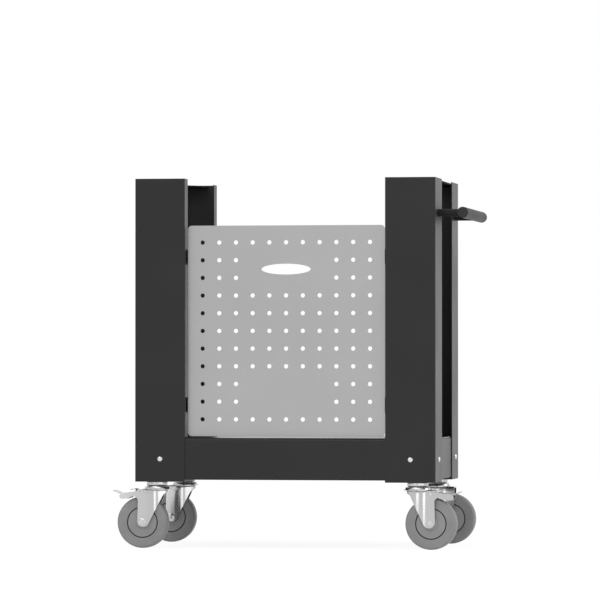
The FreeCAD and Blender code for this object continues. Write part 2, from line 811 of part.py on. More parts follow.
def casters():
    king_bolts = []
    king_nuts = []
    rings = []
    seat = fork_top - fork_sheet
    head_top = seat - race_gap
    bolt = hexagon(king_head_across, king_head_height, Vector(0, 0, head_top), Vector(0, 0, -1))
    bolt_end = beam_bottom + king_nut_height + king_tail
    bolt = bolt.fuse(rod(king_bolt / 2, Vector(0, 0, head_top), Vector(0, 0, bolt_end)))
    nut = hexagon(king_nut_across, king_nut_height, Vector(0, 0, beam_bottom), Vector(0, 0, 1))
    nut = nut.cut(rod(king_bolt / 2, Vector(0, 0, beam_bottom), Vector(0, 0, beam_bottom + king_nut_height)))
    pieces = {
        "swivel_cap": swivel_cap(),
        "axle": axle(),
        "axle_sleeve": sleeve(),
        "tyre": tyre(),
        "wheel_hub": hub(),
    }
    forks = {True: fork(True), False: fork(False)}
    lever = brake_lever()
    pin = brake_pin()
    for name, side_x, side_y in corners:
        braked = side_y < 0
        for piece, shape in pieces.items():
            save(piece + "_" + name, place_caster(shape, side_x, side_y))
        save("fork_" + name, place_caster(forks[braked], side_x, side_y))
        if braked:
            save("brake_lever_" + name, place_caster(lever, side_x, side_y))
            save("brake_pin_" + name, place_caster(pin, side_x, side_y))
        king_bolts.append(place_caster(bolt, side_x, side_y))
        king_nuts.append(place_caster(nut, side_x, side_y))
        rings.append(place_caster(ball_ring(), side_x, side_y))
    save("king_bolts", Part.makeCompound(king_bolts))
    save("king_nuts", Part.makeCompound(king_nuts))
    save("ball_rings", Part.makeCompound(rings))


posts()
foot_plates()
beams()
bottom_shelf()
oven_seats()
frame_fasteners()
tool_panel()
panel_catches()
handle()
casters()
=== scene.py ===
import bpy
import bmesh
import math
import numpy as np
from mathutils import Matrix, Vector


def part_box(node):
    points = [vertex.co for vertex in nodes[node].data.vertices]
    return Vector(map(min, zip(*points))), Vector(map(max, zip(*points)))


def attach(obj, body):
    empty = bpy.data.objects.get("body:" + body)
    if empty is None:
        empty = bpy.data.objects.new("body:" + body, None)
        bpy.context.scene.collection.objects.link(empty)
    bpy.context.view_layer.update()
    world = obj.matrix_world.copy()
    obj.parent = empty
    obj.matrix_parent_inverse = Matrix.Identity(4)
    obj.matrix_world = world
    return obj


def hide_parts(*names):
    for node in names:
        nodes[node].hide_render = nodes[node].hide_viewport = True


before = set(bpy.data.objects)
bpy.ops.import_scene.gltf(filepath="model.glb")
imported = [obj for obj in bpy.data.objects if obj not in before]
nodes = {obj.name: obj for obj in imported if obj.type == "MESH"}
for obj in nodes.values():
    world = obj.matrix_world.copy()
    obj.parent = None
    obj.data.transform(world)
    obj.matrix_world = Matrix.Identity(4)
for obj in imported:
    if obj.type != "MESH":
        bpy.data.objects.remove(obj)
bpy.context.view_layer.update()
mm = 0.001  # the frame and the scene are in metres, and sizes of pieces below are in millimetres
corners = {  # side and front or rear, as signs of x and y
    "front_left": (-1, -1),
    "front_right": (1, -1),
    "rear_left": (-1, 1),
    "rear_right": (1, 1),
}
print("frame loaded:", len(nodes), "nodes")

# Camera, fitted to the photograph: place, turn to the left, tilt upwards and lens

camera = {
    "place": (1.41309, -8.75211, 0.37192),
    "turn": 9.203,
    "tilt": 0.786,
    "lens": 264.56,
    "sensor": 36.0,
    "near": 0.5,
    "far": 200.0,
}


def makeCamera():
    data = bpy.data.cameras.new("camera")
    data.sensor_width = camera["sensor"]
    data.sensor_fit = "HORIZONTAL"
    data.lens = camera["lens"]
    data.clip_start = camera["near"]
    data.clip_end = camera["far"]
    holder = bpy.data.objects.new("camera", data)
    holder.location = camera["place"]
    holder.rotation_euler = (math.radians(90 + camera["tilt"]), 0, math.radians(camera["turn"]))
    bpy.context.scene.collection.objects.link(holder)
    bpy.context.scene.camera = holder


# Light: an even pale surround, one wide soft lamp above, one beside and a smaller one in front, and three low strips
# near the floor that draw the upright bands on the rounded metal of the casters

light = {
    "surround": 0.66,  # on the object
    "surroundSeen": 1.0,  # as the camera and gloss see it, which is white
    "lamps": {
        "topLamp": {"place": (-1.2, -2.4, 4.2), "size": (3.2, 3.2), "power": 60.0},
        "frontBox": {"place": (0.35, -2.1, 1.5), "size": (1.7, 0.8), "power": 4.8},
        "sideLamp": {"place": (4.2, 0.6, 2.2), "size": (3.0, 3.0), "power": 50.0},
        "rightStrip": {"place": (1.36, -1.36, 0.12), "size": (2.1, 0.22), "power": 1.9},
        "leftStrip": {"place": (-0.92, -2.06, 0.12), "size": (0.34, 0.22), "power": 0.34},
        "narrowStrip": {"place": (0.005, -1.34, 0.12), "size": (0.09, 0.22), "power": 0.105},
    },
    "aim": (0.0, 0.0, 0.35),
    "floorShade": 0.18,  # share of the shaded paper in what the camera sees
    "floorGlow": 1.09,
    "floorColour": (0.93, 0.93, 0.93, 1.0),
    "floorHalf": 45.0,
}
white = (1.0, 1.0, 1.0, 1.0)


def mathNode(tree, operation, first, second):
    node = tree.nodes.new("ShaderNodeMath")
    node.operation = operation
    for socket, value in zip(node.inputs, (first, second)):
        if isinstance(value, (int, float)):
            socket.default_value = value
        else:
            tree.links.new(value, socket)
    return node.outputs[0]


def seenDirectly(tree):
    # One where a ray comes from the camera, or from gloss or glass, and nought for diffuse light
    path = tree.nodes.new("ShaderNodeLightPath")
    seen = mathNode(tree, "MAXIMUM", path.outputs["Is Camera Ray"], path.outputs["Is Glossy Ray"])
    return mathNode(tree, "MAXIMUM", seen, path.outputs["Is Transmission Ray"])


def whiteGlow(tree, kind, strength):
    node = tree.nodes.new(kind)
    node.inputs["Color"].default_value = white
    node.inputs["Strength"].default_value = strength
    return node.outputs[0]


def linkMix(tree, share, first, second, outputKind):
    mix = tree.nodes.new("ShaderNodeMixShader")
    for value, socket in zip((share, first, second), mix.inputs):
        tree.links.new(value, socket)
    tree.links.new(mix.outputs[0], tree.nodes.new(outputKind).inputs["Surface"])


def makeSurround():
    world = bpy.data.worlds.new("surround")
    bpy.context.scene.world = world
    world.use_nodes = True
    tree = world.node_tree
    tree.nodes.clear()
    soft = whiteGlow(tree, "ShaderNodeBackground", light["surround"])
    plain = whiteGlow(tree, "ShaderNodeBackground", light["surroundSeen"])
    linkMix(tree, seenDirectly(tree), soft, plain, "ShaderNodeOutputWorld")


def makeLamp(name, facts):
    data = bpy.data.lights.new(name, "AREA")
    data.shape = "RECTANGLE"
    data.size, data.size_y = facts["size"]
    data.energy = facts["power"]
    lamp = bpy.data.objects.new(name, data)
    lamp.location = facts["place"]
    lamp.visible_camera = False
    aim = Vector(light["aim"]) - Vector(facts["place"])
    lamp.rotation_euler = aim.to_track_quat("-Z", "Y").to_euler()
    bpy.context.scene.collection.objects.link(lamp)


def makeFloor():
    half = light["floorHalf"]
    mesh = bpy.data.meshes.new("floor")
    mesh.from_pydata([(-half, -half, 0), (half, -half, 0), (half, half, 0), (-half, half, 0)], [], [(0, 1, 2, 3)])
    floor = bpy.data.objects.new("floor", mesh)
    bpy.context.scene.collection.objects.link(floor)
    material = bpy.data.materials.new("floorPaper")
    material.use_nodes = True
    tree = material.node_tree
    tree.nodes.clear()
    paper = tree.nodes.new("ShaderNodeBsdfDiffuse")
    paper.inputs["Color"].default_value = light["floorColour"]
    glow = whiteGlow(tree, "ShaderNodeEmission", light["floorGlow"])
    share = mathNode(tree, "MULTIPLY", seenDirectly(tree), 1.0 - light["floorShade"])
    linkMix(tree, share, paper.outputs[0], glow, "ShaderNodeOutputMaterial")
    mesh.materials.append(material)


makeCamera()
makeSurround()
for lampName, lampFacts in light["lamps"].items():
    makeLamp(lampName, lampFacts)
makeFloor()
bpy.context.scene.view_settings.view_transform = "Standard"
print("camera, light and floor made")

# Nodes that the effects and the materials use


def objectPlace(tree):
    return tree.nodes.new("ShaderNodeTexCoord").outputs["Object"]


def noiseNode(tree, vector, scale, detail, roughness=0.5):
    node = tree.nodes.new("ShaderNodeTexNoise")
    node.inputs["Detail"].default_value = detail
    node.inputs["Roughness"].default_value = roughness
    tree.links.new(vector, node.inputs["Vector"])
    if isinstance(scale, (int, float)):
        node.inputs["Scale"].default_value = scale
    else:
        tree.links.new(scale, node.inputs["Scale"])
    return node.outputs[0]


def spread(tree, value, low, high, start=0.3, end=0.7):
    # Carries start to end, between which most of a noise lies, onto low to high
    node = tree.nodes.new("ShaderNodeMapRange")
    node.inputs["From Min"].default_value = start
    node.inputs["From Max"].default_value = end
    node.inputs["To Min"].default_value = low
    node.inputs["To Max"].default_value = high
    tree.links.new(value, node.inputs["Value"])
    return node.outputs[0]


def mixColours(tree, share, first, second):
    node = tree.nodes.new("ShaderNodeMix")
    node.data_type = "RGBA"
    tree.links.new(share, node.inputs["Factor"])
    for socket, value in ((node.inputs["A"], first), (node.inputs["B"], second)):
        if isinstance(value, tuple):
            socket.default_value = value + (1.0,)
        else:
            tree.links.new(value, socket)
    return node.outputs["Result"]


# Shared effects, each a node group placed in the materials with its own values

peelNoise = {"fineDetail": 2.0, "coarseScale": 0.31, "coarseDetail": 1.0, "coarseShare": 0.6, "driftDetail": 3.0}
brushNoise = {"detail": 4.0, "roughness": 0.65, "driftDetail": 2.0}
wearMask = {"samples": 4, "detail": 4.0, "start": 0.02, "end": 0.16}


def newGroup(name, inputs, outputs):
    group = bpy.data.node_groups.new(name, "ShaderNodeTree")
    for label, kind, value in inputs:
        socket = group.interface.new_socket(label, in_out="INPUT", socket_type=kind)
        socket.default_value = value
    for label, kind in outputs:
        group.interface.new_socket(label, in_out="OUTPUT", socket_type=kind)
    return group, group.nodes.new("NodeGroupInput"), group.nodes.new("NodeGroupOutput")


def makeOrangePeel():
    # Soft lumps of two sizes, as sprayed or powder-coated paint has: height = fine + share * coarse. A third noise,
    # much slower, is a drift of gloss
    group, given, made = newGroup(
        "orangePeel",
        [("Lumps", "NodeSocketFloat", 900.0), ("Drift", "NodeSocketFloat", 14.0)],
        [("Height", "NodeSocketFloat"), ("Gloss", "NodeSocketFloat")],
    )
    facts = peelNoise
    place = objectPlace(group)
    lumps = given.outputs["Lumps"]
    fine = noiseNode(group, place, lumps, facts["fineDetail"])
    coarse = noiseNode(group, place, mathNode(group, "MULTIPLY", lumps, facts["coarseScale"]), facts["coarseDetail"])
    height = mathNode(group, "ADD", fine, mathNode(group, "MULTIPLY", coarse, facts["coarseShare"]))
    group.links.new(height, made.inputs["Height"])
    group.links.new(noiseNode(group, place, given.outputs["Drift"], facts["driftDetail"]), made.inputs["Gloss"])
    return group


def makeBrushing():
    # Long thin streaks: noise squeezed along one way and stretched along the other, and a slow drift of tone
    group, given, made = newGroup(
        "brushing",
        [("Stretch", "NodeSocketVector", (40.0, 40.0, 2200.0)), ("Drift", "NodeSocketFloat", 9.0)],
        [("Height", "NodeSocketFloat"), ("Tone", "NodeSocketFloat")],
    )
    facts = brushNoise
    place = objectPlace(group)
    scaled = group.nodes.new("ShaderNodeVectorMath")
    scaled.operation = "MULTIPLY"
    group.links.new(place, scaled.inputs[0])
    group.links.new(given.outputs["Stretch"], scaled.inputs[1])
    streaks = noiseNode(group, scaled.outputs[0], 1.0, facts["detail"], facts["roughness"])
    group.links.new(streaks, made.inputs["Height"])
    group.links.new(noiseNode(group, place, given.outputs["Drift"], facts["driftDetail"]), made.inputs["Tone"])
    return group


def makeEdgeWear():
    # The normal rounded over a small radius departs from the face's own normal only beside an edge:
    # mask = (1 - dot of the two) * noise, carried from its start and end onto nought to one
    group, given, made = newGroup(
        "edgeWear",
        [("Width", "NodeSocketFloat", 0.0012), ("Breakup", "NodeSocketFloat", 220.0)],
        [("Mask", "NodeSocketFloat")],
    )
    facts = wearMask
    bevel = group.nodes.new("ShaderNodeBevel")
    bevel.samples = facts["samples"]
    group.links.new(given.outputs["Width"], bevel.inputs["Radius"])
    flat = group.nodes.new("ShaderNodeNewGeometry")
    dot = group.nodes.new("ShaderNodeVectorMath")
    dot.operation = "DOT_PRODUCT"
    group.links.new(bevel.outputs[0], dot.inputs[0])
    group.links.new(flat.outputs["Normal"], dot.inputs[1])
    bent = mathNode(group, "SUBTRACT", 1.0, dot.outputs["Value"])
    breakup = noiseNode(group, objectPlace(group), given.outputs["Breakup"], facts["detail"])
    broken = mathNode(group, "MULTIPLY", bent, breakup)
    group.links.new(spread(group, broken, 0.0, 1.0, facts["start"], facts["end"]), made.inputs["Mask"])
    return group


groups = {"orangePeel": makeOrangePeel(), "brushing": makeBrushing(), "edgeWear": makeEdgeWear()}

# Materials


def placeGroup(tree, name, **values):
    node = tree.nodes.new("ShaderNodeGroup")
    node.node_tree = groups[name]
    for label, value in values.items():
        node.inputs[label].default_value = value
    return node


def newMaterial(name):
    material = bpy.data.materials.new(name)
    material.use_nodes = True
    tree = material.node_tree
    return material, tree, tree.nodes["Principled BSDF"]


def linkRelief(tree, shader, gloss, height, facts):
    # Roughness follows the gloss noise between its two values, and the height drives the bump
    low, high = facts["roughness"]
    tree.links.new(spread(tree, gloss, low, high), shader.inputs["Roughness"])
    bump = tree.nodes.new("ShaderNodeBump")
    bump.inputs["Strength"].default_value = 1.0
    bump.inputs["Distance"].default_value = facts["depth"]
    tree.links.new(height, bump.inputs["Height"])
    tree.links.new(bump.outputs[0], shader.inputs["Normal"])


def paint(name, facts):
    # Black paint: soft lumps, a slow drift of gloss, and edges rubbed a little greyer
    material, tree, shader = newMaterial(name)
    peel = placeGroup(tree, "orangePeel", Lumps=facts["lumps"], Drift=facts["drift"])
    wear = placeGroup(tree, "edgeWear", Width=facts["wearWidth"])
    worn = mathNode(tree, "MULTIPLY", wear.outputs["Mask"], facts["wear"])
    tone = mixColours(tree, spread(tree, peel.outputs["Gloss"], 0.0, 1.0), facts["colour"], facts["faded"])
    tree.links.new(mixColours(tree, worn, tone, facts["rubbed"]), shader.inputs["Base Color"])
    linkRelief(tree, shader, peel.outputs["Gloss"], peel.outputs["Height"], facts)
    shader.inputs["Specular IOR Level"].default_value = facts["gloss"]
    return material


def metal(name, facts):
    # Bare or plated steel: streaks or grain in the bump and the roughness, and a slow drift of tone
    material, tree, shader = newMaterial(name)
    brushed = placeGroup(tree, "brushing", Stretch=facts["stretch"], Drift=facts["drift"])
    height = brushed.outputs["Height"]
    tone = mixColours(tree, spread(tree, brushed.outputs["Tone"], 0.0, 1.0), facts["colour"], facts["clouded"])
    streak = mixColours(tree, spread(tree, height, 0.0, facts["streaks"]), tone, facts["streak"])
    tree.links.new(streak, shader.inputs["Base Color"])
    linkRelief(tree, shader, height, height, facts)
    shader.inputs["Metallic"].default_value = facts["metallic"]
    return material


def moulded(name, facts):
    # Rubber or plastic: mottled tone and the fine grain of its mould
    material, tree, shader = newMaterial(name)
    peel = placeGroup(tree, "orangePeel", Lumps=facts["grain"], Drift=facts["drift"])
    tone = mixColours(tree, spread(tree, peel.outputs["Gloss"], 0.0, 1.0), facts["colour"], facts["mottled"])
    tree.links.new(tone, shader.inputs["Base Color"])
    linkRelief(tree, shader, peel.outputs["Gloss"], peel.outputs["Height"], facts)
    shader.inputs["Specular IOR Level"].default_value = facts["gloss"]
    return material


def grey(value):
    return (value, value, value)


finishes = {
    "powderBlack": paint("powderBlack", {
        "colour": (0.009, 0.009, 0.0095), "faded": (0.012, 0.012, 0.0125), "rubbed": grey(0.05),
        "roughness": (0.36, 0.43), "gloss": 0.32, "lumps": 1100.0, "depth": 0.00002, "drift": 7.0,
        "wear": 0.5, "wearWidth": 0.0011,
    }),
    "shelfBlack": paint("shelfBlack", {
        "colour": (0.009, 0.009, 0.0095), "faded": (0.012, 0.012, 0.0125), "rubbed": grey(0.05),
        "roughness": (0.24, 0.32), "gloss": 0.3, "lumps": 700.0, "depth": 0.000012, "drift": 5.0,
        "wear": 0.3, "wearWidth": 0.001,
    }),
    "seatBlack": paint("seatBlack", {
        "colour": grey(0.008), "faded": grey(0.011), "rubbed": grey(0.04),
        "roughness": (0.62, 0.7), "gloss": 0.04, "lumps": 900.0, "depth": 0.00002, "drift": 9.0,
        "wear": 0.4, "wearWidth": 0.001,
    }),
    "gripBlack": paint("gripBlack", {
        "colour": grey(0.008), "faded": grey(0.011), "rubbed": grey(0.04),
        "roughness": (0.44, 0.52), "gloss": 0.18, "lumps": 1300.0, "depth": 0.000015, "drift": 11.0,
        "wear": 0.4, "wearWidth": 0.0008,
    }),
    "plugBlack": moulded("plugBlack", {
        "colour": grey(0.009), "mottled": grey(0.013), "roughness": (0.45, 0.55), "gloss": 0.35,
        "grain": 2600.0, "depth": 0.00002, "drift": 60.0,
    }),
    "brushedPanel": metal("brushedPanel", {
        "colour": grey(0.382), "clouded": grey(0.41), "streak": grey(0.348), "streaks": 0.5, "metallic": 0.85,
        "roughness": (0.30, 0.42), "stretch": (26.0, 26.0, 3200.0), "drift": 6.0, "depth": 0.000006,
    }),
    "brightZinc": metal("brightZinc", {
        "colour": grey(0.515), "clouded": grey(0.49), "streak": grey(0.47), "streaks": 0.3, "metallic": 0.97,
        "roughness": (0.1, 0.14), "stretch": (420.0, 420.0, 420.0), "drift": 30.0, "depth": 0.000001,
    }),
    "axleSteel": metal("axleSteel", {
        "colour": (0.60, 0.60, 0.61), "clouded": (0.52, 0.52, 0.53), "streak": grey(0.42), "streaks": 0.4,
        "metallic": 0.95, "roughness": (0.2, 0.32), "stretch": (500.0, 500.0, 500.0), "drift": 120.0,
        "depth": 0.000006,
    }),
    "fastenerSteel": metal("fastenerSteel", {
        "colour": grey(0.70), "clouded": grey(0.62), "streak": grey(0.5), "streaks": 0.3, "metallic": 0.95,
        "roughness": (0.18, 0.3), "stretch": (600.0, 600.0, 600.0), "drift": 150.0, "depth": 0.000004,
    }),
    "magnetNickel": metal("magnetNickel", {
        "colour": (0.60, 0.58, 0.55), "clouded": (0.54, 0.52, 0.49), "streak": (0.44, 0.42, 0.4), "streaks": 0.3,
        "metallic": 1.0, "roughness": (0.14, 0.24), "stretch": (500.0, 500.0, 500.0), "drift": 110.0,
        "depth": 0.000003,
    }),
    "tyreGrey": moulded("tyreGrey", {
        "colour": grey(0.225), "mottled": grey(0.26), "roughness": (0.5, 0.62), "gloss": 0.4,
        "grain": 1900.0, "depth": 0.00004, "drift": 45.0,
    }),
    "hubGrey": moulded("hubGrey", {
        "colour": grey(0.24), "mottled": grey(0.265), "roughness": (0.4, 0.5), "gloss": 0.5,
        "grain": 1500.0, "depth": 0.00002, "drift": 55.0,
    }),
    # Near-black for the faces of the hub's groove: painted shade in that recess, far darker than the hub's own grey
    "paintedGrooveShade": moulded("paintedGrooveShade", {
        "colour": grey(0.022), "mottled": grey(0.032), "roughness": (0.5, 0.6), "gloss": 0.2,
        "grain": 1500.0, "depth": 0.00002, "drift": 55.0,
    }),
}
print("materials made:", len(finishes))

# Surfaces worked out on grids of points


def gridFaces(rows, columns, wrapRows=False, wrapColumns=False):
    # Corner numbers of the quads between neighbouring rows and columns of a grid of points
    row, column = np.meshgrid(
        np.arange(rows if wrapRows else rows - 1),
        np.arange(columns if wrapColumns else columns - 1),
        indexing="ij",
    )
    here, after = row * columns, (row + 1) % rows * columns
    following = (column + 1) % columns
    quads = np.stack([here + column, here + following, after + following, after + column], -1)
    return quads.reshape(-1, 4).tolist()


def ringFace(row, count):
    # One face over a whole ring of count points
    return list(range(row * count, (row + 1) * count))


def ringAngles(count):
    return np.linspace(0, 2 * math.pi, count, endpoint=False)


def ringPoints(radius, height, angle):
    # x = radius * cos, y = radius * sin, and z is the height
    return np.stack(np.broadcast_arrays(radius * np.cos(angle), radius * np.sin(angle), height), -1)


def roundCorners(points, radii, steps=5):
    # Each corner of a closed outline becomes a tangent arc: it starts radius * tan(half the turn) before the corner
    # and swings round a centre that lies one radius to the side
    points = np.asarray(points, float)
    radii = np.broadcast_to(np.asarray(radii, float), len(points))
    before = points - np.roll(points, 1, 0)
    after = np.roll(points, -1, 0) - points
    before /= np.linalg.norm(before, axis=1)[:, None]
    after /= np.linalg.norm(after, axis=1)[:, None]
    turn = np.arctan2(before[:, 0] * after[:, 1] - before[:, 1] * after[:, 0], (before * after).sum(1))
    first = points - before * (radii * np.tan(np.abs(turn) / 2))[:, None]
    side = np.sign(turn)[:, None] * np.stack([-before[:, 1], before[:, 0]], 1)
    centre = first + side * radii[:, None]
    angle = turn[:, None] * np.linspace(0, 1, steps)[None, :]
    cos, sin = np.cos(angle), np.sin(angle)
    armX, armY = np.moveaxis((first - centre)[:, None, :], -1, 0)
    turned = np.stack([armX * cos - armY * sin, armX * sin + armY * cos], -1)
    return (centre[:, None, :] + turned).reshape(-1, 2)


def turnProfile(profile, count):
    # A closed outline of (radius, height) pairs turned once about the upright axis, as (radius * cos, radius * sin,
    # height)
    profile = np.asarray(profile, float)
    points = ringPoints(profile[None, :, 0], profile[None, :, 1], ringAngles(count)[:, None])
    return points.reshape(-1, 3), gridFaces(count, len(profile), True, True)


def turnCap(profile, count=48):
    # An open outline of (radius, height) pairs turned about the upright axis, its first and last rings closed by a face
    profile = np.asarray(profile, float)
    points = ringPoints(profile[:, :1], profile[:, 1:], ringAngles(count))
    faces = gridFaces(len(profile), count, False, True)
    return points.reshape(-1, 3), faces + [ringFace(len(profile) - 1, count), ringFace(0, count)[::-1]]


def platePoints(outline, thickness, edge):
    # A flat plate from a closed outline, its two rims rounded: each ring moves inwards by edge * (1 - sin a)
    # and up by edge * (1 - cos a)
    outline = np.asarray(outline, float)
    before = outline - np.roll(outline, 1, 0)
    after = np.roll(outline, -1, 0) - outline
    along = before / np.linalg.norm(before, axis=1)[:, None] + after / np.linalg.norm(after, axis=1)[:, None]
    along /= np.linalg.norm(along, axis=1)[:, None]
    area = 0.5 * np.sum(outline[:, 0] * np.roll(outline[:, 1], -1) - np.roll(outline[:, 0], -1) * outline[:, 1])
    inward = np.stack([-along[:, 1], along[:, 0]], 1) * np.sign(area)
    swing = np.linspace(0, math.pi / 2, 4)
    inset = edge * (1 - np.sin(swing))
    height = edge * (1 - np.cos(swing))
    insets = np.concatenate([inset, inset[::-1]])
    heights = np.concatenate([height, (thickness - height)[::-1]])
    rings = outline[None] + inward[None] * insets[:, None, None]
    points = np.concatenate([rings, np.broadcast_to(heights[:, None, None], rings.shape[:2] + (1,))], -1)
    count = len(outline)
    faces = gridFaces(len(insets), count, False, True)
    return points.reshape(-1, 3), faces + [ringFace(0, count)[::-1], ringFace(len(insets) - 1, count)]


def hexRadius(across, angle):
    # Distance from the centre to the side of a hexagon: half the width across flats over the cosine from the flat
    return across / 2 / np.cos((angle + math.pi / 6) % (math.pi / 3) - math.pi / 6)


hexCone = 30.0
hexMiddle = 0.12  # innermost ring of a solid head, as a share of its width


def hexPoints(across, height, crown, bore=0.0, count=48):
    # A hexagon drawn as rings from the middle outwards, its top corners turned off on a cone:
    # z = height - (radius - crown) * tan of the cone's angle, where the radius is over the crown
    angle = ringAngles(count)
    edge = hexRadius(across, angle)
    middle = np.full(count, max(bore, across * hexMiddle))
    radii = np.stack([middle, np.full(count, crown), 0.5 * (crown + edge), edge, edge, middle])
    top = height - np.maximum(radii - crown, 0) * math.tan(math.radians(hexCone))
    top[4:] = 0.0
    faces = gridFaces(len(radii), count, bore > 0, True)
    if bore == 0:
        faces += [ringFace(0, count), ringFace(len(radii) - 1, count)]
    return ringPoints(radii, top, angle).reshape(-1, 3), faces


def joined(*parts):
    # Several surfaces as one list of points and faces
    points, faces, start = [], [], 0
    for part in parts:
        points.append(np.asarray(part[0]).reshape(-1, 3))
        faces += [[corner + start for corner in face] for face in part[1]]
        start += len(points[-1])
    return np.concatenate(points), faces


def moved(part, turn=None, by=(0, 0, 0)):
    # point * turn + by, where the rows of the matrix turn say which way x, y and z go
    points = np.asarray(part[0], float)
    if turn is not None:
        points = points @ np.asarray(turn, float)
    return points + np.asarray(by, float), part[1]


towardsFront = [(1, 0, 0), (0, 0, 1), (0, -1, 0)]
towardsRear = [(-1, 0, 0), (0, 0, 1), (0, 1, 0)]
towardsRight = [(0, 1, 0), (0, 0, 1), (1, 0, 0)]
towardsLeft = [(0, -1, 0), (0, 0, 1), (-1, 0, 0)]
downwards = [(1, 0, 0), (0, -1, 0), (0, 0, -1)]
mergeGap = 0.00001


def addPiece(name, part, finish, body, replaced, sharp=32.0):
    mesh = bpy.data.meshes.new(name)
    mesh.from_pydata((np.asarray(part[0]) * mm).tolist(), [], [list(face) for face in part[1]])
    work = bmesh.new()
    work.from_mesh(mesh)
    bmesh.ops.remove_doubles(work, verts=work.verts, dist=mergeGap)
    bmesh.ops.recalc_face_normals(work, faces=work.faces)
    work.to_mesh(mesh)
    work.free()
    mesh.polygons.foreach_set("use_smooth", [True] * len(mesh.polygons))
    mesh.set_sharp_from_angle(angle=math.radians(sharp))
    mesh.materials.append(finishes[finish])
    piece = bpy.data.objects.new(name, mesh)
    bpy.context.scene.collection.objects.link(piece)
    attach(piece, body)
    if replaced:
        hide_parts(*replaced)
    return piece


def nodeBox(node):
    return [np.array(corner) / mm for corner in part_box(node)]


def nodeCentre(node):
    low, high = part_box(node)
    return np.array((low + high) / 2) / mm


# Casters, each drawn with its swivel axis on Z and its wheel towards +X, in millimetres


def placeAt(part, corner):
    # A caster's piece in its own place: half a turn on the left, and set under its corner
    centre = nodeCentre("swivel_cap_" + corner)
    points = np.array(part[0], float)
    if corners[corner][0] < 0:
        points[:, :2] *= -1
    return points + np.array((centre[0], centre[1], 0.0)), part[1]


fork = {
    "top": 116.0, "sheet": 2.5, "gap": 32.0, "bore": 6.1,
    "nose": 22.0, "noseLength": 41.0,  # reach before the swivel axis, and length of the half ellipse behind it
    "shoulder": 2.0, "innerBend": 0.4,  # bends between wall and roof, outside and inside
    "noseLow": 109.5, "flare": 10.0,  # lower edge at the nose, and radius of the hollow behind it
    "legEnd": (24.5, 54.3, 12.0),  # x, height and radius of its rounding
    "notch": (45.5, 93.0, 10.0, 57.0),  # x, height and radius of its rounding, and how far that goes past the top
    "tip": (67.5, 103.0, 5.5),  # x, height and radius of the arm's rounded end
    "armRoot": 113.5,  # top of the arm where it leaves the roof
    "hangs": (-14.0, 13.5, 1.2, 54.0),  # x on the upper edge over the ends of flare, slant, leg (from behind), notch
    "sideStep": 20.0,  # run of the straight side for each whole u
    "wallRows": 9, "bendRows": 6, "roofRows": 6, "backColumns": 12,
    "steps": {  # points along the lower edge
        "flare": 14, "slant": 24, "leg": 22, "back": 12, "rise": 8, "notch": 16, "neck": 6, "tip": 14,
    },
    "tolerance": 0.001,  # on what is still beside the roof
}


def forkPlan(u, depth):
    # Plan of one side of the drawn sheet, depth inwards from its outer face: while u is under one, a quarter of an
    # ellipse (x = middle - length * cos, y = half * sin of u times a right angle), then a straight side; gives the
    # place and the direction inwards
    middle = fork["noseLength"] - fork["nose"]
    length = fork["noseLength"] - depth
    half = fork["gap"] / 2 + fork["sheet"] - depth
    turn = np.clip(u, 0, 1) * math.pi / 2
    x = middle - length * np.cos(turn) + fork["sideStep"] * np.maximum(u - 1, 0)
    inward = np.stack([np.cos(turn) / length, -np.sin(turn) / half], -1)
    return np.stack([x, half * np.sin(turn)], -1), inward / np.linalg.norm(inward, axis=-1)[..., None]


def alongFork(x, depth=0.0):
    # The u at which a side reaches x: the arc cosine of (middle - x) / length on the ellipse, then one and the run
    # past it over the side's step
    middle = fork["noseLength"] - fork["nose"]
    turn = np.arccos(np.clip((middle - x) / (fork["noseLength"] - depth), 0, 1))
    return np.where(x < middle, turn / (math.pi / 2), 1 + (x - middle) / fork["sideStep"])


def straight(start, end, count):
    share = np.linspace(0, 1, count + 1)[1:]
    return start[0] + (end[0] - start[0]) * share, start[1] + (end[1] - start[1]) * share


def arc(centre, size, start, end, count):
    angle = np.linspace(start, end, count + 1)[1:]
    return centre[0] + size * np.cos(angle), centre[1] + size * np.sin(angle)


